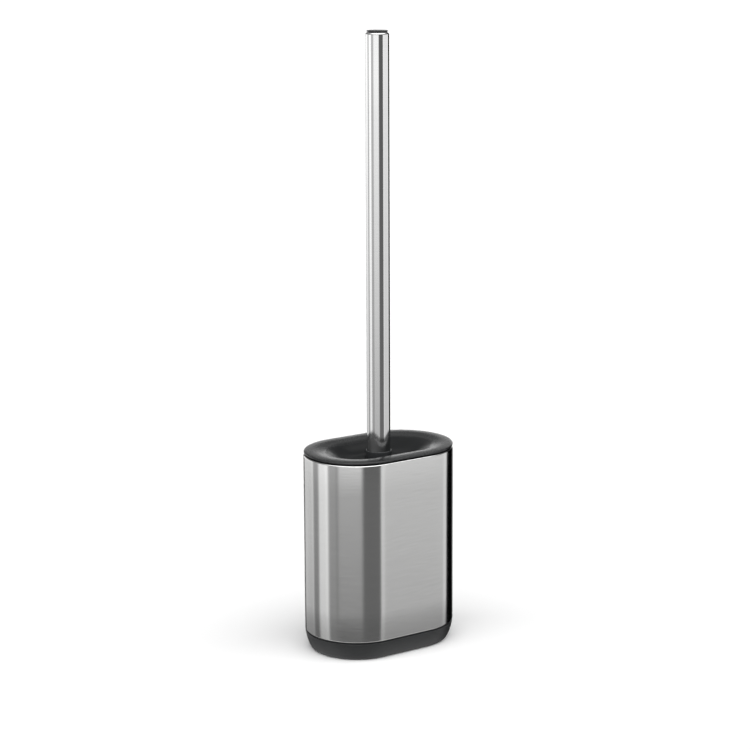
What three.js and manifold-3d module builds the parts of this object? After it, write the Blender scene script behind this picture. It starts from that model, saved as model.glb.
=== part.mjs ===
// A free-standing toilet brush and holder. An oblong brushed-steel sleeve stands on a moulded base and is
// clamped to it by an inner frame and four screws. A drip cup (the liner) hangs in the frame and lifts out.
// The brush hangs from its dished lid: a steel tube handle, a plastic stem bolted to it from below, and a
// tufted head that turns off the stem. Millimetres, +Z up, origin on the floor at the middle of the base.
import * as THREE from "three";
import { mergeVertices } from "three/addons/utils/BufferGeometryUtils.js";
import Module from "manifold-3d";

const wasm = await Module();
wasm.setup();

// ---- Driving dimensions -------------------------------------------------------------------------------
const BODY_LENGTH = 120;
const BODY_WIDTH = 80;
const OVERALL_HEIGHT = 462.8;
const SEAM_Z = 14.5; // top of the visible base, where the steel sleeve starts
const SLEEVE_TOP_Z = 150.8;
const RIM_TOP_Z = 153.4; // crown of the lid's rim
const TUBE_RADIUS = 8.86;
const GAP = 0.3; // clearance between pieces that rest on or in each other

// ---- Sizes worked out from them -----------------------------------------------------------------------
const BODY_RADIUS = BODY_WIDTH / 2;
const SPINE = (BODY_LENGTH - BODY_WIDTH) / 2; // half-length of the straight sides
const STEEL = 0.8; // sheet and tube wall
const HEM_RADIUS = BODY_RADIUS - STEEL - 0.8; // inside the sleeve's end edges, which are rolled inwards
const FOOT_PROUD = 0.6; // how far the rubber pads stand below the base
const LID_EDGE = 1.4; // thickness of the lid's rim plate
const DISH_DEPTH = 8.5;
const DISH_RADIUS = 27.4; // half-width of the dish where its wall meets the rim's roll
const CROWN_RADIUS = 34; // half-width of the oblong along the rim's crown
const LID_RADIUS = BODY_RADIUS - 0.3; // half-width of the lid
const RIM_ROLL = 0.66; // how far the rim rolls down from its crown to the dish's edge
const LID_WALL = 2.2;
const COLLAR_TOP_Z = 150.2;
const SHOULDER_Z = 131.7; // top of the stem's shoulder, which carries the lid and the tube
const STEM_LOW_Z = 73;
const HEAD_TOP_Z = 91.7;
const HEAD_LOW_Z = 20;
const CORE_RADIUS = 11;
const BRISTLE_RADIUS = 30.5;
const BRISTLE_LOW_Z = 12.2;
const ROW_COUNT = 10;
const TUFTS_PER_ROW = 14;
const LINER_SPINE = 7.5;
const DECK_Z = 144; // the frame's deck, which carries the liner's flange
const SCREW_X = 46;
const SCREW_Y = 10;
const FOOT_X = 36;
const FOOT_Y = 22;

const MATERIALS = {
  brushedSteel: new THREE.MeshStandardMaterial({ color: 0xb9bab9, roughness: 0.32, metalness: 1 }),
  polishedSteel: new THREE.MeshStandardMaterial({ color: 0xc8c9c9, roughness: 0.14, metalness: 1 }),
  charcoal: new THREE.MeshStandardMaterial({ color: 0x3b3d3e, roughness: 0.5, metalness: 0 }),
  linerGrey: new THREE.MeshStandardMaterial({ color: 0x2b2d2e, roughness: 0.6, metalness: 0 }),
  rubber: new THREE.MeshStandardMaterial({ color: 0x1c1d1e, roughness: 0.85, metalness: 0 }),
  zinc: new THREE.MeshStandardMaterial({ color: 0xa9abac, roughness: 0.35, metalness: 1 }),
  bristle: new THREE.MeshStandardMaterial({ color: 0x222426, roughness: 0.6, metalness: 0 }),
};

// ---- Geometry helpers ---------------------------------------------------------------------------------

// A level outline: all points `radius` away from a spine of half-length `half` along X, anticlockwise.
function stadiumRing(half, radius, z, arcSteps = 20) {
  const points = [];
  for (const side of [1, -1])
    for (let i = 0; i <= arcSteps; i++) {
      const angle = (i / arcSteps) * Math.PI - (side * Math.PI) / 2;
      points.push(new THREE.Vector3(side * half + radius * Math.cos(angle), radius * Math.sin(angle), z));
    }
  return points;
}

// Joins rings of equal length into one closed surface, capped at both ends or joined end to end.
function loft(rings, endless = false) {
  const count = rings[0].length;
  const index = [];
  const bands = endless ? rings.length : rings.length - 1;
  for (let k = 0; k < bands; k++) {
    const low = k * count;
    const high = ((k + 1) % rings.length) * count;
    for (let i = 0; i < count; i++) {
      const j = (i + 1) % count;
      index.push(low + i, low + j, high + j, low + i, high + j, high + i);
    }
  }
  if (!endless) {
    const last = (rings.length - 1) * count;
    for (let i = 1; i < count - 1; i++) {
      index.push(0, i + 1, i);
      index.push(last, last + i, last + i + 1);
    }
  }
  return new THREE.BufferGeometry().setFromPoints(rings.flat()).setIndex(index);
}

// Sweeps a profile of [radius, z] round an oblong of the given spine.
function oblong(profile, half = SPINE, endless = false) {
  return loft(
    profile.map(([radius, z]) => stadiumRing(half, radius, z)),
    endless,
  );
}

// Turns a profile of [radius, z] round the Z axis. It starts and ends on the axis or closes on itself.
function turned(profile, segments = 32) {
  const points = profile.map(([radius, z]) => new THREE.Vector2(radius, z));
  return new THREE.LatheGeometry(points, segments).rotateX(Math.PI / 2);
}

// A plain upright cylinder.
function rod(radius, low, high, x = 0, y = 0, segments = 20) {
  return new THREE.CylinderGeometry(radius, radius, high - low, segments)
    .rotateX(Math.PI / 2)
    .translate(x, y, (low + high) / 2);
}

// A closed geometry as a solid, for cutting and joining.
function solid(geometry) {
  const bare = geometry.clone();
  bare.deleteAttribute("normal");
  bare.deleteAttribute("uv");
  const merged = mergeVertices(bare, 1e-4);
  const corners = merged.index.array;
  const kept = [];
  for (let i = 0; i < corners.length; i += 3) {
    const [a, b, c] = corners.slice(i, i + 3);
    if (a !== b && b !== c && c !== a) kept.push(a, b, c);
  }
  return new wasm.Manifold(
    new wasm.Mesh({
      numProp: 3,
      vertProperties: new Float32Array(merged.attributes.position.array),
      triVerts: new Uint32Array(kept),
    }),
  );
}

function geometryOf(made) {
  const mesh = made.getMesh();
  return new THREE.BufferGeometry()
    .setAttribute("position", new THREE.BufferAttribute(mesh.vertProperties, 3))
    .setIndex(new THREE.BufferAttribute(mesh.triVerts, 1));
}

function piece(name, material, shape) {
  const geometry = shape instanceof THREE.BufferGeometry ? geometryOf(solid(shape)) : geometryOf(shape);
  geometry.computeVertexNormals();
  const mesh = new THREE.Mesh(geometry, MATERIALS[material]);
  mesh.name = name;
  return mesh;
}

// The four places, one in each quarter, that screws or feet take.
function quarters(x, y) {
  return [
    [x, y],
    [-x, y],
    [-x, -y],
    [x, -y],
  ];
}

// ---- Holder -------------------------------------------------------------------------------------------

// Outside radius of the base: upright at the seam and tucked under towards the floor.
const BASE_TUCK = 4.5;
const BASE_CURVE = 1.37;
function baseRadius(share) {
  return BODY_RADIUS - GAP - BASE_TUCK * (1 - (1 - share ** BASE_CURVE) ** (1 / BASE_CURVE));
}

function makeBase() {
  const wall = 2.6;
  const floorTop = 3.4;
  const grooveHeight = 1; // the shadow groove under the sleeve
  const ledge = 0.6; // how far the sleeve's lower edge rests on the base
  const upstandTop = 24;
  const upstandRadius = HEM_RADIUS - GAP;
  const steps = 8;
  const outside = [];
  for (let i = steps; i >= 0; i--) {
    const share = i / steps;
    outside.push([baseRadius(share), SEAM_Z - grooveHeight - share * (SEAM_Z - grooveHeight - FOOT_PROUD)]);
  }
  const profile = [
    ...outside,
    [upstandRadius + ledge, SEAM_Z - grooveHeight],
    [upstandRadius + ledge, SEAM_Z],
    [upstandRadius, SEAM_Z],
    [upstandRadius, upstandTop],
    [upstandRadius - 1.8, upstandTop],
    [upstandRadius - 1.8, 10],
    [baseRadius(0.6) - wall, 6],
    [baseRadius(1) - 1.4, floorTop],
  ];
  let base = solid(oblong(profile));
  for (const [x, y] of quarters(SCREW_X, SCREW_Y)) {
    base = base.add(solid(rod(5.5, 2.5, 6.4, x, y)));
    base = base.subtract(solid(rod(3.9, -1, 3.2, x, y)));
    base = base.subtract(solid(rod(2.1, 2, 8, x, y)));
  }
  for (const [x, y] of quarters(FOOT_X, FOOT_Y)) base = base.subtract(solid(rod(5.3, -1, 1.9, x, y)));
  return piece("base", "charcoal", base);
}

// A quarter round on an outer edge, as [distance in from the side, distance from the end], end first.
function edgeRound(radius, steps) {
  const points = [];
  for (let i = 0; i <= steps; i++) {
    const angle = ((i / steps) * Math.PI) / 2;
    points.push([radius * (1 - Math.sin(angle)), radius * (1 - Math.cos(angle))]);
  }
  return points;
}

// Sheet with both ends rolled inwards, in a wide round at the top and a tight one at the bottom.
function makeSleeve() {
  const inside = BODY_RADIUS - STEEL;
  const low = SEAM_Z + GAP;
  const topRound = 1.2;
  const bottomRound = 0.8;
  const profile = [
    [HEM_RADIUS, low],
    ...edgeRound(bottomRound, 2).map(([inset, rise]) => [BODY_RADIUS - inset, low + rise]),
    ...edgeRound(topRound, 4)
      .reverse()
      .map(([inset, drop]) => [BODY_RADIUS - inset, SLEEVE_TOP_Z - drop]),
    [HEM_RADIUS, SLEEVE_TOP_Z],
    [HEM_RADIUS, SLEEVE_TOP_Z - STEEL],
    [inside - 0.2, SLEEVE_TOP_Z - topRound],
    [inside, SLEEVE_TOP_Z - topRound - 0.4],
    [inside, low + 1],
    [HEM_RADIUS, low + STEEL],
  ];
  return piece("sleeve", "brushedSteel", oblong(profile, SPINE, true));
}

// The frame's flange sits on the sleeve's rolled edge, its neck takes the lid's skirt, its deck carries the
// liner, and its four posts run down to the screws in the base.
const NECK_RADIUS = 36.6;
const LINER_HOLE_RADIUS = 35;
function makeInnerFrame() {
  const neckOutside = HEM_RADIUS - GAP;
  const deckLow = DECK_Z - 2;
  const flangeRadius = 38.7;
  const flangeLow = SLEEVE_TOP_Z + GAP;
  const flangeTop = RIM_TOP_Z - LID_EDGE - 0.2;
  const neck = oblong(
    [
      [neckOutside, deckLow],
      [neckOutside, flangeLow],
      [flangeRadius, flangeLow],
      [flangeRadius, flangeTop],
      [NECK_RADIUS, flangeTop],
      [NECK_RADIUS, deckLow],
    ],
    SPINE,
    true,
  );
  const deck = oblong([
    [NECK_RADIUS + 0.7, deckLow],
    [NECK_RADIUS + 0.7, DECK_Z],
  ]);
  const hole = oblong(
    [
      [LINER_HOLE_RADIUS, deckLow - 1],
      [LINER_HOLE_RADIUS, DECK_Z + 1],
    ],
    LINER_SPINE,
  );
  let frame = solid(neck).add(solid(deck)).subtract(solid(hole));
  for (const [x, y] of quarters(SCREW_X, SCREW_Y)) {
    frame = frame.add(solid(rod(3.4, 6.7, deckLow + 1, x, y, 16)));
    frame = frame.subtract(solid(rod(2, 6, 20, x, y, 16)));
  }
  return piece("inner_frame", "charcoal", frame);
}

function makeLiner() {
  const flangeLow = DECK_Z + GAP;
  const flangeTop = flangeLow + 1.6;
  const profile = [
    [30.5, 4.2],
    [33, 5.2],
    [33.9, 8],
    [34.6, flangeLow],
    [36.2, flangeLow],
    [36.2, flangeTop],
    [33.1, flangeTop],
    [32.4, 9],
    [31.6, 7],
    [29.8, 6],
  ];
  return piece("liner", "linerGrey", oblong(profile, LINER_SPINE));
}

function makeBaseScrew(number, x, y) {
  const head = solid(
    turned(
      [
        [0, 0],
        [2.6, 0],
        [3.3, 0.6],
        [3.4, 1.1],
        [3.4, 2],
        [1.7, 2],
        [1.7, 15],
        [0, 17],
      ],
      16,
    ),
  );
  const slot = new THREE.BoxGeometry(4.2, 0.9, 1.8);
  const cross = solid(slot).add(solid(slot.clone().rotateZ(Math.PI / 2)));
  const screw = piece(`base_screw_${number}`, "zinc", head.subtract(cross));
  screw.position.set(x, y, 0.9);
  return screw;
}

function makeFootPad(number, x, y) {
  const pad = turned(
    [
      [0, 0],
      [4.6, 0],
      [5, 0.4],
      [5, 1.6],
      [0, 1.6],
    ],
    20,
  );
  const foot = piece(`foot_pad_${number}`, "rubber", pad);
  foot.position.set(x, y, 0);
  return foot;
}

// ---- Brush --------------------------------------------------------------------------------------------

// Height of the dish at a share of the way out from its middle (0) to its edge (1): a level floor, then a
// wall that steepens and eases off again to meet the rim's roll.
const DISH_FLOOR_SHARE = 0.42;
const DISH_EDGE_WEIGHT = 0.156; // how much of the wall's slope is left at the edge
function dishZ(share) {
  const along = Math.max(0, (share - DISH_FLOOR_SHARE) / (1 - DISH_FLOOR_SHARE));
  const eased = (1 + Math.cos(Math.PI * along)) / 2;
  const depth = eased + DISH_EDGE_WEIGHT * (1 - along ** 2.4 - eased);
  return RIM_TOP_Z - RIM_ROLL - DISH_DEPTH * depth;
}

function dishRing(share, z) {
  return stadiumRing(SPINE * share, DISH_RADIUS * share, z);
}

function makeLid() {
  const rimLow = RIM_TOP_Z - LID_EDGE;
  const innermost = DISH_FLOOR_SHARE;
  const steps = 8;
  const rings = [];
  for (let i = 0; i < steps; i++) {
    const share = innermost + ((1 - innermost) * i) / steps;
    rings.push(dishRing(share, Math.min(dishZ(share) - LID_WALL, rimLow)));
  }
  rings.push(stadiumRing(SPINE, DISH_RADIUS + 3.2, rimLow));
  rings.push(stadiumRing(SPINE, LID_RADIUS - 0.4, rimLow));
  rings.push(stadiumRing(SPINE, LID_RADIUS, rimLow + 0.3));
  rings.push(stadiumRing(SPINE, LID_RADIUS - 0.1, RIM_TOP_Z - 0.7));
  rings.push(stadiumRing(SPINE, LID_RADIUS - 0.5, RIM_TOP_Z - 0.35));
  rings.push(stadiumRing(SPINE, LID_RADIUS - 1.3, RIM_TOP_Z - 0.15));
  for (const rolled of [0, 0.3, 0.55, 0.8]) {
    const radius = CROWN_RADIUS + (DISH_RADIUS - CROWN_RADIUS) * rolled;
    rings.push(stadiumRing(SPINE, radius, RIM_TOP_Z - RIM_ROLL * rolled ** 2));
  }
  for (let i = steps; i >= 0; i--) {
    const share = innermost + ((1 - innermost) * i) / steps;
    rings.push(dishRing(share, dishZ(share)));
  }
  const skirtRadius = NECK_RADIUS - GAP;
  const skirt = oblong(
    [
      [skirtRadius, 146.3],
      [skirtRadius, rimLow + 0.6],
      [skirtRadius - 1.3, rimLow + 0.6],
      [skirtRadius - 1.3, 146.3],
    ],
    SPINE,
    true,
  );
  const boss = turned([
    [0, SHOULDER_Z + GAP],
    [12.4, SHOULDER_Z + GAP],
    [12.4, 139],
    [13.4, 143.2],
    [11.4, 143.8],
    [10.7, 144.6],
    [0, 144.6],
  ]);
  const lid = solid(loft(rings))
    .add(solid(skirt))
    .add(solid(boss))
    .subtract(solid(rod(TUBE_RADIUS + 0.34, 120, 160, 0, 0, 32)))
    .subtract(solid(rod(10.25, 141.5, 160, 0, 0, 32)));
  return piece("lid", "charcoal", lid);
}

function makeHandleCollar() {
  const bore = TUBE_RADIUS + GAP;
  const ring = turned([
    [bore, 141.8],
    [9.9, 141.8],
    [9.9, 144.8],
    [9.8, COLLAR_TOP_Z - 0.5],
    [9.55, COLLAR_TOP_Z],
    [9.3, COLLAR_TOP_Z],
    [bore, COLLAR_TOP_Z - 0.4],
    [bore, 141.8],
  ]);
  return piece("handle_collar", "rubber", ring);
}

function makeHandleTube() {
  const top = OVERALL_HEIGHT - 1.4;
  const inside = TUBE_RADIUS - STEEL;
  const mouth = 7.2; // the top end is spun inwards to a smaller mouth
  const low = SHOULDER_Z + GAP;
  const tube = turned([
    [inside, low],
    [TUBE_RADIUS, low],
    [TUBE_RADIUS, top - 2.4],
    [TUBE_RADIUS - 0.35, top - 1],
    [TUBE_RADIUS - 1.1, top - 0.15],
    [mouth, top],
    [mouth, top - STEEL],
    [inside, top - 2.6],
    [inside, low],
  ]);
  return piece("handle_tube", "polishedSteel", tube);
}

function makeEndPlug() {
  const lipTop = OVERALL_HEIGHT - 1.4;
  const plug = turned([
    [0, lipTop - 12],
    [6.4, lipTop - 12],
    [6.9, lipTop - 11],
    [6.9, lipTop + GAP],
    [7.7, lipTop + GAP],
    [7.6, lipTop + 0.7],
    [6.6, OVERALL_HEIGHT - 0.25],
    [4, OVERALL_HEIGHT],
    [0, OVERALL_HEIGHT],
  ]);
  return piece("end_plug", "charcoal", plug);
}

const STEM_SPIGOT_RADIUS = TUBE_RADIUS - STEEL - GAP;
const STEM_TOP_Z = 165;
function makeStem() {
  const stem = turned([
    [4.8, STEM_LOW_Z],
    [6.6, STEM_LOW_Z],
    [6.6, HEAD_TOP_Z + GAP],
    [8, HEAD_TOP_Z + GAP],
    [8, 127],
    [9.6, 128.6],
    [11.8, 128.9],
    [11.8, SHOULDER_Z],
    [STEM_SPIGOT_RADIUS, SHOULDER_Z],
    [STEM_SPIGOT_RADIUS, STEM_TOP_Z],
    [2.7, STEM_TOP_Z],
    [2.7, STEM_LOW_Z + 6],
    [4.8, STEM_LOW_Z + 6],
    [4.8, STEM_LOW_Z],
  ]);
  return piece("stem", "charcoal", stem);
}

function makeTubeInsert() {
  const low = STEM_TOP_Z + GAP;
  const insert = turned([
    [2.5, low],
    [STEM_SPIGOT_RADIUS, low],
    [STEM_SPIGOT_RADIUS, low + 18],
    [2.5, low + 18],
    [2.5, low],
  ]);
  return piece("tube_insert", "zinc", insert);
}

function makeTieBolt() {
  const headLow = STEM_LOW_Z + 0.6;
  const headTop = STEM_LOW_Z + 4.8;
  const body = solid(
    turned(
      [
        [0, headLow],
        [3.9, headLow],
        [4.3, headLow + 0.4],
        [4.3, headTop],
        [2.2, headTop],
        [2.2, STEM_TOP_Z + 16],
        [0, STEM_TOP_Z + 18],
      ],
      20,
    ),
  );
  const socket = solid(rod(2.3, headLow - 1, headLow + 2.4, 0, 0, 6));
  return piece("tie_bolt", "zinc", body.subtract(socket));
}

function makeBoltWasher() {
  const low = STEM_LOW_Z + 5;
  const washer = turned(
    [
      [2.5, low],
      [4.5, low],
      [4.5, low + 0.8],
      [2.5, low + 0.8],
      [2.5, low],
    ],
    24,
  );
  return piece("bolt_washer", "zinc", washer);
}

// ---- Brush head ---------------------------------------------------------------------------------------

function makeBrushCore() {
  const socketRadius = 6.9;
  const core = turned([
    [0, HEAD_LOW_Z],
    [7.6, HEAD_LOW_Z],
    [10.2, HEAD_LOW_Z + 1.6],
    [CORE_RADIUS, HEAD_LOW_Z + 4.2],
    [CORE_RADIUS, HEAD_TOP_Z - 3.5],
    [9.6, HEAD_TOP_Z],
    [socketRadius, HEAD_TOP_Z],
    [socketRadius, STEM_LOW_Z - GAP],
    [0, STEM_LOW_Z - GAP],
  ]);
  return piece("brush_core", "charcoal", core);
}

// One level of tufts, joined at their roots: a star-shaped ring of `TUFTS_PER_ROW` lobes.
function makeBristleRow(number, middle, thickness, tipRadius) {
  const rootRadius = CORE_RADIUS + 2.2;
  const outline = [];
  for (let i = 0; i < TUFTS_PER_ROW; i++) {
    const pitch = (2 * Math.PI) / TUFTS_PER_ROW;
    const turn = pitch * (i + (number % 2) / 2);
    for (const [share, radius] of [
      [-0.5, rootRadius],
      [-0.3, tipRadius - 0.8],
      [0, tipRadius],
      [0.3, tipRadius - 0.8],
    ]) {
      const angle = turn + share * pitch;
      outline.push(new THREE.Vector2(radius * Math.cos(angle), radius * Math.sin(angle)));
    }
  }
  const shape = new THREE.Shape(outline);
  shape.holes.push(new THREE.Path().absarc(0, 0, CORE_RADIUS + GAP, 0, 2 * Math.PI, true));
  const star = new THREE.ExtrudeGeometry(shape, { depth: thickness, bevelEnabled: false, curveSegments: 14 });
  const row = piece(`bristle_row_${String(number).padStart(2, "0")}`, "bristle", star);
  row.position.set(0, 0, middle - thickness / 2);
  return row;
}

function makeBristleRows() {
  const lowest = 27.2;
  const pitch = 6.3;
  const rows = [];
  for (let i = 0; i < ROW_COUNT; i++) {
    const along = (2 * i) / (ROW_COUNT - 1) - 1; // -1 at the lowest row, 1 at the highest
    const taper = along < 0 ? 4.6 * along ** 4 : 1.8 * along ** 4;
    rows.push(makeBristleRow(i + 1, lowest + pitch * i, pitch - 0.9, BRISTLE_RADIUS - taper));
  }
  return rows;
}

function makeBristleEnd() {
  const end = turned(
    [
      [0, BRISTLE_LOW_Z],
      [13, BRISTLE_LOW_Z],
      [18.5, BRISTLE_LOW_Z + 2.6],
      [21.5, HEAD_LOW_Z - GAP],
      [0, HEAD_LOW_Z - GAP],
    ],
    24,
  );
  return piece("bristle_end", "bristle", end);
}

// ---- Assembly -----------------------------------------------------------------------------------------

const holder = new THREE.Group();
holder.add(makeBase(), makeSleeve(), makeInnerFrame());
quarters(SCREW_X, SCREW_Y).forEach(([x, y], i) => holder.add(makeBaseScrew(i + 1, x, y)));
quarters(FOOT_X, FOOT_Y).forEach(([x, y], i) => holder.add(makeFootPad(i + 1, x, y)));

const liner = new THREE.Group();
liner.add(makeLiner());

const head = new THREE.Group();
head.add(makeBrushCore(), ...makeBristleRows(), makeBristleEnd());

const brush = new THREE.Group();
brush.add(makeHandleTube(), makeEndPlug(), makeLid(), makeHandleCollar());
brush.add(makeStem(), makeTubeInsert(), makeTieBolt(), makeBoltWasher(), head);

const toiletBrush = new THREE.Group();
toiletBrush.add(holder, liner, brush);

export default toiletBrush;
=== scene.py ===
"""The looks of a toilet brush and its holder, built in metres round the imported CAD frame."""

import math
import random

import bmesh
import bpy
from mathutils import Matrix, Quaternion, Vector


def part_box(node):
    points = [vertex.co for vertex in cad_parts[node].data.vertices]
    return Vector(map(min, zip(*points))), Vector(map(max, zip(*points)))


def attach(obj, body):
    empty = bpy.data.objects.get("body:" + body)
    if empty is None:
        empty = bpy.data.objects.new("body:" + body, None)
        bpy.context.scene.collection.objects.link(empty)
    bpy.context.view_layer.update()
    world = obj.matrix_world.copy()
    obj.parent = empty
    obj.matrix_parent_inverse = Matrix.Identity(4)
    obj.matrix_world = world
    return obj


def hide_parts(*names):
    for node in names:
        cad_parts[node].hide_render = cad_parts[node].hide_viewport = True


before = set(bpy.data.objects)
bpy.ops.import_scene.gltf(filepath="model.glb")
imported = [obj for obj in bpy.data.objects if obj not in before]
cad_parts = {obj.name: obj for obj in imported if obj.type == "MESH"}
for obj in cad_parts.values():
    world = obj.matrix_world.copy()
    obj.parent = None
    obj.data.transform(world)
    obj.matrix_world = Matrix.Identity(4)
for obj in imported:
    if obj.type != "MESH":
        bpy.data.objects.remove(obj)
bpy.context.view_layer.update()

MM = 0.001

# ---- Sizes, read from the CAD model where it has them ------------------------------------------------


def low(node):
    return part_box(node)[0]


def high(node):
    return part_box(node)[1]


BODY_RADIUS = high("sleeve").y
BASE_TOP_RADIUS = high("base").y
SPINE = high("sleeve").x - BODY_RADIUS  # half-length of the oblong's straight sides
SLEEVE_LOW = low("sleeve").z
SLEEVE_TOP = high("sleeve").z
LID_TOP = high("lid").z
LID_EDGE_LOW = LID_TOP - 1.4 * MM
DISH_DEPTH = 8.5 * MM
DISH_RADIUS = 27.4 * MM  # half-width of the dish where its wall meets the rim's roll
CROWN_RADIUS = 34 * MM  # half-width of the oblong along the rim's crown
SHADED_BOWL_SHARE = 0.85  # the part of the dish's half-width that has the duller finish and the slightly darker painted shade
TUBE_RADIUS = high("handle_tube").x
TUBE_LOW = low("handle_tube").z
TUBE_TOP = high("handle_tube").z
COLLAR_TOP = high("handle_collar").z
COLLAR_RADIUS = high("handle_collar").x
PLUG_TOP = high("end_plug").z
CORE_RADIUS = high("brush_core").x
CORE_LOW = low("brush_core").z
CORE_TOP = high("brush_core").z
TUFT_REACH = 30.5 * MM  # from the axis to the tips of the widest tufts


# ---- Camera, lights and floor ------------------------------------------------------------------------


def make_camera():
    """A long lens a little above the holder, looking at its left end and its front."""
    distance = 1.62622
    elevation = math.radians(12.56)
    turn = math.radians(34.35)
    roll = math.radians(-0.22)
    target = Vector((-0.0021, 0.0015, 0.2077))
    forward = Vector(
        (
            math.sin(turn) * math.cos(elevation),
            math.cos(turn) * math.cos(elevation),
            -math.sin(elevation),
        )
    )
    data = bpy.data.cameras.new("camera")
    data.sensor_width = 36
    data.lens = 104.5
    data.clip_start, data.clip_end = 0.05, 100
    camera = bpy.data.objects.new("camera", data)
    camera.rotation_mode = "QUATERNION"
    camera.location = target - forward * distance
    camera.rotation_quaternion = forward.to_track_quat("-Z", "Y") @ Quaternion((0, 0, 1), roll)
    bpy.context.scene.collection.objects.link(camera)
    bpy.context.scene.camera = camera


# Upright softboxes round the object: the direction of the middle, half the width and the softness of the
# edge, in degrees anticlockwise from +X, and the brightness at the horizon and near the floor.
SOFTBOXES = [
    (40, 10, 6, 1.30, 0.02),
    (58, 15, 8, 1.45, 0.55),
    (105, 22, 8, 1.50, 0.50),
    (134, 10, 8, 0.75, 0.25),
    (158, 13, 8, 1.60, 0.90),
    (181, 13, 14, 0.75, 0.35),
    (222, 26, 10, 1.25, 0.02),
    (246, 52, 10, 0.15, 0.22),
    (322, 33, 5, 1.20, 0.60),
    (350, 7, 6, 0.10, 0.20),
]


class Nodes:
    """Shorthand for building a node tree."""

    def __init__(self, tree):
        self.tree = tree
        self.tree.nodes.clear()

    def add(self, kind, **settings):
        node = self.tree.nodes.new(kind)
        for name, value in settings.items():
            setattr(node, name, value)
        return node

    def feed(self, socket, value):
        """Links another node's output to a socket, or sets a plain value on it."""
        if isinstance(value, bpy.types.NodeSocket):
            self.tree.links.new(value, socket)
        else:
            socket.default_value = value

    def math(self, operation, *values):
        node = self.add("ShaderNodeMath", operation=operation)
        for socket, value in zip(node.inputs, values):
            self.feed(socket, value)
        return node.outputs[0]

    def smooth(self, value, start, end, to_min=0.0, to_max=1.0, kind="SMOOTHSTEP"):
        """Carries a value between two levels as it goes from start to end, and holds it beyond them."""
        node = self.add("ShaderNodeMapRange", interpolation_type=kind)
        for socket, given in zip(node.inputs, (value, start, end, to_min, to_max)):
            self.feed(socket, given)
        return node.outputs[0]


# Brightness of the ceiling's key light, of the rest of the ceiling, of the light that the floor throws back,
# and of the plain white that the camera sees
KEY_LIGHT = 2.95
FILL_LIGHT = 0.3
FLOOR_LIGHT = 0.6
BACKDROP_LIGHT = 1.1
SPILL = 0.12  # the share of the softboxes' light that is left above their tops
FOOT_SHARE = 0.5  # how bright the softboxes' feet are
POOL_SHARE = 1.2  # how bright they are just above their feet
# Pairs of heights above the horizon, in degrees, over which each of these changes takes place
SOFTBOX_BLEND = (-19.5, -4)  # from the brightness near the floor to the brightness at the horizon
SOFTBOX_TOP = (9.5, 14.5)
SOFTBOX_FOOT = (-20.6, -18.6)
SOFTBOX_POOL = (-17.2, -15.2)
KEY_RISE = (34, 50)
KEY_FADE = (84, 90)
FILL_RISE = (20, 40)
FLOOR_FADE = (-46, -30)
# The key light's middle, half-width and softness round the object, in degrees
KEY_PLACE = (247, 100, 30)


def band(n, azimuth, middle, half, soft):
    """1 within half degrees of a direction, falling smoothly to 0 across its edge."""
    turned = n.math("WRAP", n.math("SUBTRACT", azimuth, float(middle)), 180.0, -180.0)
    return n.smooth(n.math("ABSOLUTE", turned), half - soft / 2, half + soft / 2, 1.0, 0.0)


def make_world():
    """A studio of upright softboxes and a bright ceiling. The camera itself sees plain white."""
    world = bpy.data.worlds.new("studio")
    bpy.context.scene.world = world
    world.use_nodes = True
    n = Nodes(world.node_tree)
    direction = n.add("ShaderNodeTexCoord").outputs["Generated"]
    split = n.add("ShaderNodeSeparateXYZ")
    n.feed(split.inputs[0], direction)
    x, y, z = split.outputs
    azimuth = n.math("DEGREES", n.math("ARCTAN2", y, x))
    height = n.math("DEGREES", n.math("ARCSINE", z))
    # 0 near the floor, 1 from just under the horizon up
    rise = n.smooth(height, *SOFTBOX_BLEND, kind="LINEAR")
    walls = 0.0
    for middle, half, soft, bright, dim in SOFTBOXES:
        inside = band(n, azimuth, middle, half, soft)
        level = n.math("MULTIPLY_ADD", rise, bright - dim, dim)
        walls = n.math("MULTIPLY_ADD", inside, level, walls)
    walls = n.math("MULTIPLY", walls, n.smooth(height, *SOFTBOX_TOP, 1.0, SPILL))
    walls = n.math("MULTIPLY", walls, n.smooth(height, *SOFTBOX_FOOT, FOOT_SHARE, 1.0))
    walls = n.math("MULTIPLY", walls, n.smooth(height, *SOFTBOX_POOL, POOL_SHARE, 1.0))
    # a large key light over the camera's side, a weak fill from the rest of the ceiling, light off the floor
    key = n.math("MULTIPLY", band(n, azimuth, *KEY_PLACE), n.smooth(height, *KEY_RISE))
    key = n.math("MULTIPLY", key, n.smooth(height, *KEY_FADE, KEY_LIGHT, 0.0))
    fill = n.smooth(height, *FILL_RISE, 0.0, FILL_LIGHT)
    bounce = n.smooth(height, *FLOOR_FADE, FLOOR_LIGHT, 0.0)
    light = n.math("ADD", n.math("ADD", walls, key), n.math("ADD", fill, bounce))
    background = n.add("ShaderNodeBackground")
    n.feed(background.inputs["Strength"], light)
    backdrop = n.add("ShaderNodeBackground")
    backdrop.inputs["Strength"].default_value = BACKDROP_LIGHT
    for shown in (background, backdrop):
        shown.inputs["Color"].default_value = (1, 1, 1, 1)
    mix = n.add("ShaderNodeMixShader")
    n.feed(mix.inputs[0], n.add("ShaderNodeLightPath").outputs["Is Camera Ray"])
    n.feed(mix.inputs[1], background.outputs[0])
    n.feed(mix.inputs[2], backdrop.outputs[0])
    n.feed(n.add("ShaderNodeOutputWorld").inputs[0], mix.outputs[0])


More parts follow.
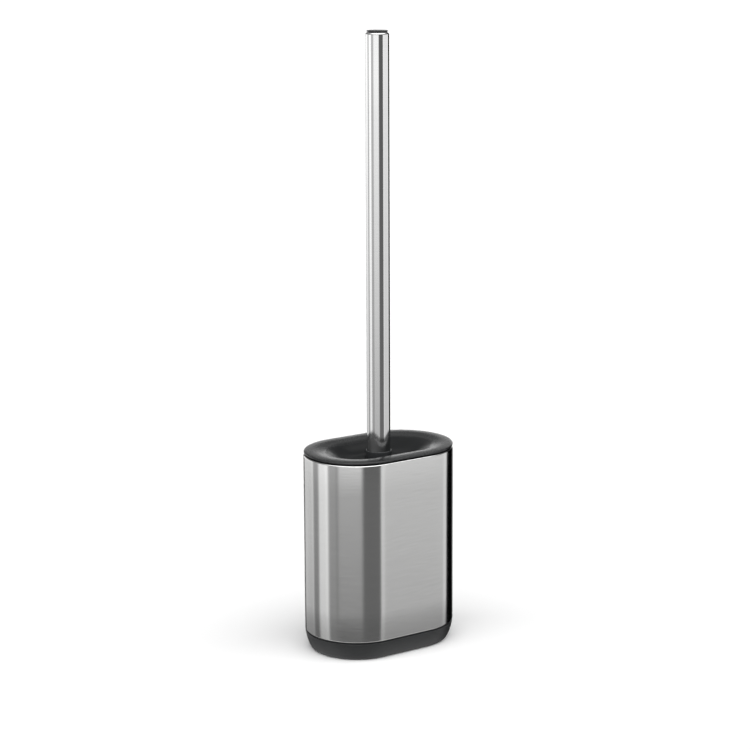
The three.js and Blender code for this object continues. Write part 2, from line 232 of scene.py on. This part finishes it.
def make_floor():
    """A pale matt floor, wide enough to run past the picture, which the steel doesn't mirror."""
    reach = 40
    mesh = bpy.data.meshes.new("floor")
    corners = [(-reach, -reach, 0), (reach, -reach, 0), (reach, reach, 0), (-reach, reach, 0)]
    mesh.from_pydata(corners, [], [(0, 1, 2, 3)])
    floor = bpy.data.objects.new("floor", mesh)
    bpy.context.scene.collection.objects.link(floor)
    floor.visible_glossy = False
    paper = bpy.data.materials.new("floor_paper")
    paper.use_nodes = True
    shader = paper.node_tree.nodes["Principled BSDF"]
    shader.inputs["Base Color"].default_value = (0.86, 0.86, 0.86, 1)
    shader.inputs["Roughness"].default_value = 0.9
    shader.inputs["Specular IOR Level"].default_value = 0.1
    mesh.materials.append(paper)


# ---- Materials ---------------------------------------------------------------------------------------


def material(name, **inputs):
    """A material with one Principled shader, whose constant inputs are set on its own sockets."""
    made = bpy.data.materials.new(name)
    made.use_nodes = True
    n = Nodes(made.node_tree)
    shader = n.add("ShaderNodeBsdfPrincipled")
    for key, value in inputs.items():
        shader.inputs[key.replace("_", " ")].default_value = value
    n.feed(n.add("ShaderNodeOutputMaterial").inputs["Surface"], shader.outputs[0])
    return made, n, shader


def place(n, scale=(1, 1, 1)):
    """Positions on the piece, in metres times scale."""
    mapping = n.add("ShaderNodeMapping")
    n.feed(mapping.inputs["Vector"], n.add("ShaderNodeTexCoord").outputs["Object"])
    mapping.inputs["Scale"].default_value = scale
    return mapping.outputs[0]


def noise(n, vector, scale, detail=3.0, roughness=0.5):
    node = n.add("ShaderNodeTexNoise")
    n.feed(node.inputs["Vector"], vector)
    for name, value in (("Scale", scale), ("Detail", detail), ("Roughness", roughness)):
        node.inputs[name].default_value = value
    return node.outputs["Fac"]


def colours(n, value, *stops):
    """A colour ramp over grey levels or colours, as (position, colour) pairs."""
    ramp = n.add("ShaderNodeValToRGB")
    points = ramp.color_ramp.elements
    for i, (position, colour) in enumerate(stops):
        point = points[i] if i < 2 else points.new(position)
        point.position = position
        point.color = (*colour, 1)
    n.feed(ramp.inputs[0], value)
    return ramp.outputs["Color"]


def bump(n, shader, value, distance, strength=1.0):
    node = n.add("ShaderNodeBump")
    node.inputs["Strength"].default_value = strength
    node.inputs["Distance"].default_value = distance
    n.feed(node.inputs["Height"], value)
    n.feed(shader.inputs["Normal"], node.outputs[0])


def brushed_steel(name, tone, roughness, anisotropy, grain):
    """Stainless sheet with fine level scratches, so that its highlights spread up and down."""
    made, n, shader = material(name, Metallic=1.0, Anisotropic=anisotropy)
    upright = n.add("ShaderNodeCombineXYZ")
    upright.inputs["Z"].default_value = 1.0
    n.feed(shader.inputs["Tangent"], upright.outputs[0])
    fine = noise(n, place(n, (18, 18, 5200)), 1.0, 2.0)
    streaks = noise(n, place(n, (70, 70, 2600)), 1.0, 3.0, 0.55)
    cloud = noise(n, place(n, (30, 30, 30)), 1.0, 2.0)
    dark = tuple(c * (1 - grain) for c in tone)
    mixed = n.math("MULTIPLY_ADD", streaks, 0.6, n.math("MULTIPLY", fine, 0.4))
    n.feed(shader.inputs["Base Color"], colours(n, mixed, (0.35, dark), (0.62, tone)))
    rough = n.math("MULTIPLY_ADD", streaks, 0.05, roughness - 0.025)
    n.feed(shader.inputs["Roughness"], n.math("MULTIPLY_ADD", cloud, 0.03, rough))
    bump(n, shader, mixed, 0.012 * MM, 0.025)
    return made


def moulded_plastic(name, tone, roughness, grain_size=0.35 * MM, depth=0.02 * MM, specular=0.5):
    """Moulded plastic with a fine spark-eroded grain and slightly rubbed high spots."""
    made, n, shader = material(name, Specular_IOR_Level=specular)
    grain = noise(n, place(n), 1 / grain_size, 3.0, 0.6)
    handled = noise(n, place(n), 45.0, 3.0, 0.55)
    light = tuple(c * 1.18 for c in tone)
    dark = tuple(c * 0.86 for c in tone)
    n.feed(shader.inputs["Base Color"], colours(n, handled, (0.3, dark), (0.7, light)))
    rough = n.math("MULTIPLY_ADD", handled, 0.12, roughness - 0.06)
    n.feed(shader.inputs["Roughness"], n.math("MULTIPLY_ADD", grain, 0.08, rough))
    bump(n, shader, grain, depth, 0.5)
    return made


def rubber(name, tone, roughness):
    made, n, shader = material(name, Specular_IOR_Level=0.35)
    dust = noise(n, place(n), 120.0, 4.0, 0.6)
    dark = tuple(c * 0.7 for c in tone)
    n.feed(shader.inputs["Base Color"], colours(n, dust, (0.35, dark), (0.75, tone)))
    n.feed(shader.inputs["Roughness"], n.math("MULTIPLY_ADD", dust, 0.2, roughness - 0.1))
    bump(n, shader, noise(n, place(n), 2500.0, 2.0), 0.02 * MM, 0.5)
    return made


def zinc_plate(name):
    made, n, shader = material(name, Metallic=1.0)
    blotch = noise(n, place(n), 400.0, 4.0, 0.6)
    n.feed(
        shader.inputs["Base Color"],
        colours(n, blotch, (0.3, (0.42, 0.44, 0.47)), (0.7, (0.62, 0.63, 0.62))),
    )
    n.feed(shader.inputs["Roughness"], n.math("MULTIPLY_ADD", blotch, 0.2, 0.22))
    bump(n, shader, noise(n, place(n), 3000.0, 2.0), 0.01 * MM, 0.4)
    return made


def nylon(name):
    """Dark filaments, a little paler towards the worn tips."""
    made, n, shader = material(name, Specular_IOR_Level=0.5)
    split = n.add("ShaderNodeSeparateXYZ")
    n.feed(split.inputs[0], place(n))
    x, y, _ = split.outputs
    radius = n.math("SQRT", n.math("MULTIPLY_ADD", x, x, n.math("MULTIPLY", y, y)))
    worn = n.smooth(radius, CORE_RADIUS, TUFT_REACH)
    streak = noise(n, place(n), 1400.0, 2.0)
    shade = n.math("MULTIPLY_ADD", worn, 0.55, n.math("MULTIPLY", streak, 0.45))
    n.feed(
        shader.inputs["Base Color"],
        colours(n, shade, (0.1, (0.018, 0.019, 0.02)), (0.95, (0.075, 0.078, 0.082))),
    )
    n.feed(shader.inputs["Roughness"], n.math("MULTIPLY_ADD", streak, 0.2, 0.3))
    return made


SLEEVE_STEEL = brushed_steel("sleeve_steel", (0.63, 0.63, 0.625), 0.15, 0.72, 0.08)
HANDLE_STEEL = brushed_steel("handle_steel", (0.66, 0.66, 0.66), 0.09, 0.5, 0.04)
CHARCOAL = moulded_plastic("charcoal_plastic", (0.015, 0.0162, 0.017), 0.38)
LID_PLASTIC = moulded_plastic("lid_plastic", (0.010, 0.0108, 0.0113), 0.22, specular=0.45)
# the bowl's colour is a little darker than the rim's as painted shade in the dish; its lower specular is a
# duller finish
BOWL_PLASTIC_PAINTED_SHADE = moulded_plastic("bowl_plastic_painted_shade", (0.009, 0.0098, 0.0103), 0.3, specular=0.2)
# the frame's plastic is painted near black, darker than the other plastics: painted shade for the gap
# between the lid and the sleeve
FRAME_PLASTIC_PAINTED_SHADE = moulded_plastic("frame_plastic_painted_shade", (0.005, 0.0053, 0.0056), 0.6, specular=0.2)
LINER_PLASTIC = moulded_plastic("liner_plastic", (0.024, 0.0255, 0.027), 0.38, depth=0.01 * MM)
COLLAR_RUBBER = rubber("collar_rubber", (0.04, 0.042, 0.044), 0.3)
FOOT_RUBBER = rubber("foot_rubber", (0.03, 0.03, 0.031), 0.8)
ZINC = zinc_plate("zinc_plate")
NYLON = nylon("nylon")


# ---- Mesh helpers ------------------------------------------------------------------------------------


def arc(centre, radius, start, end, steps):
    """Points on an arc of a profile, from one angle to another in degrees."""
    points = []
    for i in range(steps + 1):
        a = math.radians(start + (end - start) * i / steps)
        points.append((centre[0] + radius * math.cos(a), centre[1] + radius * math.sin(a)))
    return points


def stadium(half, radius, z, arc_steps=48, side_steps=10):
    """A level ring all points `radius` away from a spine along X, anticlockwise from the front right."""
    points = []
    for side in (1, -1):
        for i in range(arc_steps + 1):
            a = math.pi * i / arc_steps - side * math.pi / 2
            points.append((side * half + radius * math.cos(a), radius * math.sin(a), z))
        for i in range(1, side_steps):
            share = i / side_steps
            points.append((side * half * (1 - 2 * share), side * radius, z))
    return points


def finish_mesh(bm, name, body, look, replaced, sharp=40):
    """Turns a bmesh into a piece that rides on a body and stands for CAD nodes."""
    bmesh.ops.remove_doubles(bm, verts=bm.verts, dist=1e-7)
    bmesh.ops.recalc_face_normals(bm, faces=bm.faces)
    mesh = bpy.data.meshes.new(name)
    for face in bm.faces:
        face.smooth = True
    limit = math.radians(sharp)
    for edge in bm.edges:
        edge.smooth = len(edge.link_faces) == 2 and edge.calc_face_angle(0) < limit
    bm.to_mesh(mesh)
    bm.free()
    mesh.materials.append(look)
    piece = bpy.data.objects.new(name, mesh)
    bpy.context.scene.collection.objects.link(piece)
    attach(piece, body)
    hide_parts(*replaced)
    return piece


def loft(rings, endless=False):
    """Joins rings of equal length into one closed surface."""
    bm = bmesh.new()
    made = [[bm.verts.new(p) for p in ring] for ring in rings]
    count = len(made[0])
    bands = len(made) if endless else len(made) - 1
    for k in range(bands):
        a, b = made[k], made[(k + 1) % len(made)]
        for i in range(count):
            j = (i + 1) % count
            bm.faces.new((a[i], a[j], b[j], b[i]))
    if not endless:
        bm.faces.new(list(reversed(made[0])))
        bm.faces.new(made[-1])
    return bm


def oblong(profile, half=SPINE, endless=False, **steps):
    """Carries a profile of (radius, z) points round a spine along X."""
    return loft([stadium(half, r, z, **steps) for r, z in profile], endless)


def lathe(profile, segments=64, endless=False):
    """Turns a profile round Z. Points with radius 0 become poles."""
    bm = bmesh.new()
    rings = []
    for r, z in profile:
        if r < 1e-9:
            rings.append([bm.verts.new((0, 0, z))])
        else:
            ring = []
            for i in range(segments):
                a = 2 * math.pi * i / segments
                ring.append(bm.verts.new((r * math.cos(a), r * math.sin(a), z)))
            rings.append(ring)
    pairs = list(zip(rings, rings[1:]))
    if endless:
        pairs.append((rings[-1], rings[0]))
    for a, b in pairs:
        for i in range(segments):
            j = (i + 1) % segments
            if len(a) == 1 and len(b) == 1:
                continue
            if len(a) == 1:
                bm.faces.new((a[0], b[j], b[i]))
            elif len(b) == 1:
                bm.faces.new((a[i], a[j], b[0]))
            else:
                bm.faces.new((a[i], a[j], b[j], b[i]))
    return bm


# ---- Holder ------------------------------------------------------------------------------------------


def make_sleeve():
    """Sheet with both ends rolled inwards, in a wide round at the top and a tight one at the bottom."""
    outer, sheet, top_roll, low_roll = BODY_RADIUS, 0.8 * MM, 1.2 * MM, 0.8 * MM
    hem = outer - 1.6 * MM
    levels = 6
    profile = [(hem, SLEEVE_LOW)]
    profile += arc((outer - low_roll, SLEEVE_LOW + low_roll), low_roll, -90, 0, 6)
    for i in range(1, levels):
        profile.append((outer, SLEEVE_LOW + (SLEEVE_TOP - SLEEVE_LOW) * i / levels))
    profile += arc((outer - top_roll, SLEEVE_TOP - top_roll), top_roll, 0, 90, 10)
    profile += [(hem, SLEEVE_TOP), (hem, SLEEVE_TOP - sheet)]
    profile += arc((outer - top_roll, SLEEVE_TOP - top_roll), top_roll - sheet, 90, 0, 4)
    profile += [(outer - sheet, SLEEVE_LOW + sheet + 0.2 * MM), (hem, SLEEVE_LOW + sheet)]
    bm = oblong(profile, endless=True, arc_steps=72)
    finish_mesh(bm, "steel_sleeve", "holder", SLEEVE_STEEL, ["sleeve"])


def cut(piece, cutters):
    """Takes closed meshes away from a piece and leaves one clean mesh."""
    for cutter in cutters:
        mesh = bpy.data.meshes.new("cutter")
        cutter.to_mesh(mesh)
        cutter.free()
        tool = bpy.data.objects.new("cutter", mesh)
        bpy.context.scene.collection.objects.link(tool)
        modifier = piece.modifiers.new("cut", "BOOLEAN")
        modifier.operation = "DIFFERENCE"
        modifier.solver = "EXACT"
        modifier.object = tool
    graph = bpy.context.evaluated_depsgraph_get()
    made = bpy.data.meshes.new_from_object(piece.evaluated_get(graph))
    tools = [modifier.object for modifier in piece.modifiers]
    piece.modifiers.clear()
    piece.data = made
    for tool in tools:
        bpy.data.objects.remove(tool)


def plain_cylinder(radius, bottom, top, x, y):
    bm = bmesh.new()
    depth = top - bottom
    bmesh.ops.create_cone(bm, cap_ends=True, segments=40, radius1=radius, radius2=radius, depth=depth)
    bmesh.ops.translate(bm, verts=bm.verts, vec=(x, y, (bottom + top) / 2))
    return bm


def middle_of(node):
    corner_a, corner_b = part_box(node)
    return (corner_a + corner_b) / 2


BASE_TUCK, BASE_CURVE = 4.5 * MM, 1.37


def base_radius(share):
    """Outside of the base: upright at the seam and tucked under towards the floor."""
    return BASE_TOP_RADIUS - BASE_TUCK * (1 - (1 - share**BASE_CURVE) ** (1 / BASE_CURVE))


def make_base():
    """The tucked-in tray under the sleeve: a shadow groove, an upstand, and seats for feet and screws."""
    bottom, seam, groove = low("base").z, SLEEVE_LOW - 0.3 * MM, 1 * MM
    upstand = high("base").z
    inner, ledge = BODY_RADIUS - 1.9 * MM, 0.6 * MM
    steps = 24
    profile = [(base_radius(1) - 1.4 * MM, 3.4 * MM)]
    for i in range(steps, -1, -1):
        # closer together near the floor, where the outline turns under
        share = math.sin(math.pi / 2 * i / steps)
        profile.append((base_radius(share), seam - groove - share * (seam - groove - bottom)))
    top_round = 0.35 * MM
    side = profile.pop()
    profile += arc((side[0] - top_round, side[1] - top_round), top_round, 0, 90, 4)
    profile += [(inner + ledge, seam - groove), (inner + ledge, seam), (inner, seam)]
    profile += [(inner, upstand - 0.4 * MM), (inner - 0.4 * MM, upstand), (inner - 1.4 * MM, upstand)]
    profile += [(inner - 1.8 * MM, upstand - 0.4 * MM), (inner - 1.8 * MM, 10 * MM)]
    profile += [(base_radius(0.6) - 2.6 * MM, 6 * MM)]
    bm = oblong(profile[1:] + profile[:1])
    piece = finish_mesh(bm, "base_tray", "holder", CHARCOAL, ["base"])
    cutters = []
    for i in range(1, 5):
        foot, screw = middle_of(f"foot_pad_{i}"), middle_of(f"base_screw_{i}")
        cutters.append(plain_cylinder(5.3 * MM, -1 * MM, 1.9 * MM, foot.x, foot.y))
        cutters.append(plain_cylinder(3.9 * MM, -1 * MM, 3.2 * MM, screw.x, screw.y))
        cutters.append(plain_cylinder(2.1 * MM, 2 * MM, 8 * MM, screw.x, screw.y))
    cut(piece, cutters)


def make_liner():
    """The drip cup: a deep oblong cup with a rounded floor and a flange that hangs on the frame's deck."""
    bottom, top = low("liner").z, high("liner").z
    half = high("liner").x - high("liner").y
    flange, flange_under = high("liner").y, top - 1.6 * MM
    wall_top, low_round, edge_round, mouth_round = 34.6 * MM, 3.4 * MM, 0.5 * MM, 0.8 * MM
    profile = arc((30.2 * MM, bottom + low_round), low_round, -90, -12, 8)
    profile += [(wall_top, flange_under)]
    profile += arc((flange - edge_round, top - 1.1 * MM), edge_round, -90, 0, 3)
    profile += arc((flange - edge_round, top - edge_round), edge_round, 0, 90, 3)
    profile += arc((33.9 * MM, top - mouth_round), mouth_round, 90, 180, 4)
    profile += arc((29.4 * MM, bottom + 4.8 * MM), 3 * MM, -8, -90, 8)
    bm = oblong(profile, half)
    finish_mesh(bm, "drip_cup", "liner", LINER_PLASTIC, ["liner"])


# ---- Brush -------------------------------------------------------------------------------------------


def make_handle():
    """A steel tube with its top end rounded inwards to a mouth for the plug."""
    wall, lip = 0.8 * MM, 1.9 * MM
    inside = TUBE_RADIUS - wall
    mouth = 7.2 * MM
    profile = [(inside, TUBE_LOW), (TUBE_RADIUS, TUBE_LOW)]
    levels = 6
    for i in range(1, levels + 1):
        profile.append((TUBE_RADIUS, TUBE_LOW + (TUBE_TOP - lip - TUBE_LOW) * i / levels))
    profile += arc((TUBE_RADIUS - lip, TUBE_TOP - lip), lip, 9, 81, 8)
    profile += [(mouth + 0.2 * MM, TUBE_TOP), (mouth, TUBE_TOP - 0.2 * MM)]
    profile += [(mouth, TUBE_TOP - wall), (inside, TUBE_TOP - 2.6 * MM)]
    bm = lathe(profile, 96, endless=True)
    finish_mesh(bm, "handle", "brush", HANDLE_STEEL, ["handle_tube"])


def make_end_plug():
    """A low domed plug in the tube's mouth."""
    mouth = TUBE_TOP
    profile = [(0, mouth - 12 * MM), (6.4 * MM, mouth - 12 * MM), (6.9 * MM, mouth - 11 * MM)]
    profile += [(6.9 * MM, mouth + 0.3 * MM), (7.6 * MM, mouth + 0.3 * MM)]
    profile += arc((7.2 * MM, mouth + 0.7 * MM), 0.5 * MM, 0, 60, 4)
    dome_radius, dome_fall = 7.4 * MM, 0.28 * MM
    for i in range(5, -1, -1):
        share = i / 6
        profile.append((dome_radius * share, PLUG_TOP - dome_fall * share * share))
    bm = lathe(profile)
    finish_mesh(bm, "handle_end_plug", "brush", CHARCOAL, ["end_plug"], 50)


RIM_ROLL = 0.66 * MM  # how far the rim rolls down from its crown to the dish's edge
DISH_FLOOR_SHARE = 0.42
DISH_EDGE_WEIGHT = 0.156  # how much of the wall's slope is left at the dish's edge


def dish_z(share):
    """A level floor, then a wall that steepens and eases off again to meet the rim's roll."""
    along = max(0, (share - DISH_FLOOR_SHARE) / (1 - DISH_FLOOR_SHARE))
    eased = (1 + math.cos(math.pi * along)) / 2
    depth = eased + DISH_EDGE_WEIGHT * (1 - along**2.4 - eased)
    return LID_TOP - RIM_ROLL - DISH_DEPTH * depth


def dish_ring(share, z):
    return stadium(SPINE * share, DISH_RADIUS * share, z)


def make_lid():
    """The dished lid: a crowned rim that rolls into a bowl, a skirt below, and a seat for the collar."""
    underside, wall, thickness = LID_EDGE_LOW, 2.2 * MM, 0.3 * MM
    edge = high("lid").y
    seat_radius, seat_z, bore = 10.25 * MM, 141.5 * MM, TUBE_RADIUS + 0.34 * MM
    boss_radius, boss_low = 12.4 * MM, low("lid").z
    steps = 22
    rings = []

    def add(radius, z, half=SPINE):
        rings.append(stadium(half, radius, z))

    # from the seat's mouth out over the boss, up the bowl and over the rim
    for radius, z in [
        (bore, boss_low),
        (bore, seat_z),
        (seat_radius, seat_z),
        (seat_radius, 144.4 * MM),
        (seat_radius + 0.2 * MM, 144.6 * MM),
        (seat_radius + 0.6 * MM, 144.5 * MM),
    ]:
        add(radius, z, 0)
    for i in range(steps + 1):
        share = DISH_FLOOR_SHARE + (1 - DISH_FLOOR_SHARE) * i / steps
        rings.append(dish_ring(share, dish_z(share)))
    roll_steps = 8
    for i in range(1, roll_steps + 1):
        rolled = 1 - i / roll_steps
        add(CROWN_RADIUS + (DISH_RADIUS - CROWN_RADIUS) * rolled, LID_TOP - RIM_ROLL * rolled**2)
    add(edge - 2.4 * MM, LID_TOP - 0.06 * MM)
    add(edge - 1.5 * MM, LID_TOP - 0.14 * MM)
    for radius, z in arc((edge - 0.9 * MM, LID_TOP - 1.1 * MM), 0.9 * MM, 80, 0, 7):
        add(radius, z)
    add(edge - 0.3 * MM, underside)
    skirt_out, skirt_in, skirt_low = 36.3 * MM, 35 * MM, 146.3 * MM
    add(skirt_out, underside)
    add(skirt_out, skirt_low + thickness)
    add(skirt_out - thickness, skirt_low)
    add(skirt_in + thickness, skirt_low)
    add(skirt_in, skirt_low + thickness)
    add(skirt_in, underside)
    for i in range(10):
        share = 1.02 - 0.52 * i / 9
        rings.append(dish_ring(share, min(dish_z(share) - wall, underside)))
    for radius, z in [(13.4 * MM, 139.6 * MM), (boss_radius, 139 * MM), (boss_radius, boss_low)]:
        add(radius, z, 0)
    bm = loft(rings, endless=True)
    piece = finish_mesh(bm, "dished_lid", "brush", LID_PLASTIC, ["lid"])
    # the bowl inside the rim is duller than the rim, and painted a little darker as painted shade in the
    # dish
    piece.data.materials.append(BOWL_PLASTIC_PAINTED_SHADE)
    for face in piece.data.polygons:
        reach = math.hypot(max(0, abs(face.center.x) - SPINE), face.center.y)
        if reach < SHADED_BOWL_SHARE * DISH_RADIUS and face.normal.z > 0.1:
            face.material_index = 1


def make_collar():
    """A thin dark ring with a rounded lip, pressed between the handle and the lid."""
    bore, outer, bottom, top = TUBE_RADIUS + 0.3 * MM, COLLAR_RADIUS, low("handle_collar").z, COLLAR_TOP
    lip = 0.3 * MM
    profile = [(bore, bottom), (outer, bottom), (outer, bottom + 3 * MM)]
    profile += arc((outer - 0.1 * MM - lip, top - lip), lip, 0, 90, 5)
    profile += arc((bore + 0.15 * MM, top - 0.15 * MM), 0.15 * MM, 90, 180, 3)
    bm = lathe(profile, 72, endless=True)
    finish_mesh(bm, "collar_ring", "brush", COLLAR_RUBBER, ["handle_collar"])


def make_stem():
    """The moulded stem: spigot in the tube, shoulder under the lid, shaft down to the brush head."""
    bottom, top, shoulder = low("stem").z, high("stem").z, 131.7 * MM
    spigot, head = TUBE_RADIUS - 1.1 * MM, CORE_TOP + 0.3 * MM
    foot, shaft, flange = 6.6 * MM, 8 * MM, 11.8 * MM
    bolt_hole, washer_seat, seat_top = 2.7 * MM, 4.8 * MM, bottom + 6 * MM
    profile = [(washer_seat, bottom), (foot, bottom), (foot, head)]
    profile += arc((7.6 * MM, head + 0.4 * MM), 0.4 * MM, -90, 0, 3)
    profile += [(shaft, 125 * MM)]
    profile += arc((11.4 * MM, 125.5 * MM), 3.4 * MM, 180, 90, 8)
    profile += arc((11.4 * MM, 129.3 * MM), 0.4 * MM, -90, 0, 3)
    profile += [(flange, shoulder), (spigot, shoulder), (spigot, top)]
    profile += [(bolt_hole, top), (bolt_hole, seat_top), (washer_seat, seat_top)]
    bm = lathe(profile, 64, endless=True)
    finish_mesh(bm, "head_stem", "brush", CHARCOAL, ["stem"])


# ---- Brush head --------------------------------------------------------------------------------------

ROWS = sorted(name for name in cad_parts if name.startswith("bristle_row"))
TUFTS_PER_ROW = 14


def make_core():
    """The head's core, with a socket for the stem."""
    socket, depth = 6.9 * MM, low("stem").z - 0.3 * MM
    profile = [(0, CORE_LOW), (7.6 * MM, CORE_LOW)]
    profile += arc((7 * MM, CORE_LOW + 4 * MM), 4 * MM, -75, 0, 8)
    profile += arc((CORE_RADIUS - 1.8 * MM, CORE_TOP - 1.8 * MM), 1.8 * MM, 0, 90, 6)
    profile += [(socket + 0.3 * MM, CORE_TOP), (socket, CORE_TOP - 0.3 * MM), (socket, depth), (0, depth)]
    bm = lathe(profile)
    finish_mesh(bm, "head_core", "brush", CHARCOAL, ["brush_core"])


def filament(bm, root, direction, length, radius, bend):
    """A three-sided tapered filament, curved away from its straight line by `bend` at the tip."""
    side = direction.orthogonal().normalized()
    other = direction.cross(side)
    rings = []
    parts = 3
    for i in range(parts + 1):
        share = i / parts
        centre = root + direction * (length * share) + bend * (share * share)
        thick = radius * (1 - 0.25 * share)
        ring = []
        for corner in range(3):
            a = 2 * math.pi * corner / 3
            ring.append(bm.verts.new(centre + (side * math.cos(a) + other * math.sin(a)) * thick))
        rings.append(ring)
    for a, b in zip(rings, rings[1:]):
        for i in range(3):
            j = (i + 1) % 3
            bm.faces.new((a[i], a[j], b[j], b[i]))
    bm.faces.new(list(reversed(rings[0])))
    bm.faces.new(rings[-1])


def make_bristles():
    """Level by level, bunches of filaments that leave the core close together and fan out."""
    rng = random.Random(11)
    per_tuft = 20
    bm = bmesh.new()

    def tuft(root, direction, reach, spread):
        across = direction.orthogonal().normalized()
        other = direction.cross(across)
        for _ in range(per_tuft):
            a, r = rng.uniform(0, 2 * math.pi), math.sqrt(rng.random())
            offset = across * math.cos(a) + other * math.sin(a)
            way = (direction + offset * (r * spread)).normalized()
            length = reach * rng.uniform(0.93, 1.0)
            sag = Vector((rng.uniform(-0.4, 0.4), rng.uniform(-0.4, 0.4), rng.uniform(-1.0, 0.1))) * MM
            filament(bm, root + offset * (r * 1.1 * MM), way, length, rng.uniform(0.2, 0.27) * MM, sag)

    for number, row in enumerate(ROWS, 1):
        corner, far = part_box(row)
        z = (corner.z + far.z) / 2
        tip = max(far.x, far.y)
        for i in range(TUFTS_PER_ROW):
            a = 2 * math.pi * (i + (number % 2) / 2) / TUFTS_PER_ROW
            out = Vector((math.cos(a), math.sin(a), 0))
            root = out * (CORE_RADIUS - 0.8 * MM) + Vector((0, 0, z))
            tuft(root, out, tip - CORE_RADIUS + 0.6 * MM, 0.17)
    # the tufts on the rounded lower end, leaning further down towards the middle
    end_low = low("bristle_end").z
    for count, tilt, ring in ((10, 40, 7.5 * MM), (6, 68, 4 * MM)):
        down = math.radians(tilt)
        for i in range(count):
            a = 2 * math.pi * i / count
            out = Vector((math.cos(a) * math.cos(down), math.sin(a) * math.cos(down), -math.sin(down)))
            root = Vector((math.cos(a) * ring, math.sin(a) * ring, CORE_LOW + 1.5 * MM))
            reach = (root.z - end_low - 0.6 * MM) / math.sin(down)
            tuft(root, out, reach, 0.2)
    finish_mesh(bm, "bristles", "brush", NYLON, [*ROWS, "bristle_end"], 100)


def keep_cad(node, look, bevel=0.15 * MM):
    """A CAD node whose shape is right keeps it, with softened edges and a better material."""
    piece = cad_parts[node]
    piece.data.materials.clear()
    piece.data.materials.append(look)
    for face in piece.data.polygons:
        face.use_smooth = True
        face.material_index = 0
    weld = piece.modifiers.new("weld", "WELD")
    weld.merge_threshold = 1e-6
    rounding = piece.modifiers.new("rounding", "BEVEL")
    rounding.width = bevel
    rounding.segments = 2
    rounding.limit_method = "ANGLE"
    rounding.angle_limit = math.radians(35)
    rounding.harden_normals = True


make_camera()
make_world()
make_floor()
bpy.context.scene.view_settings.view_transform = "Standard"

make_sleeve()
make_base()
make_liner()
make_handle()
make_end_plug()
make_lid()
make_collar()
make_stem()
make_core()
make_bristles()
# the inner frame carries the near-black painted shade of the gap under the lid
keep_cad("inner_frame", FRAME_PLASTIC_PAINTED_SHADE)
for cad_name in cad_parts:
    if cad_name.startswith("foot_pad"):
        keep_cad(cad_name, FOOT_RUBBER)
    elif cad_name.startswith(("base_screw", "tube_insert", "tie_bolt", "bolt_washer")):
        keep_cad(cad_name, ZINC, 0.08 * MM)
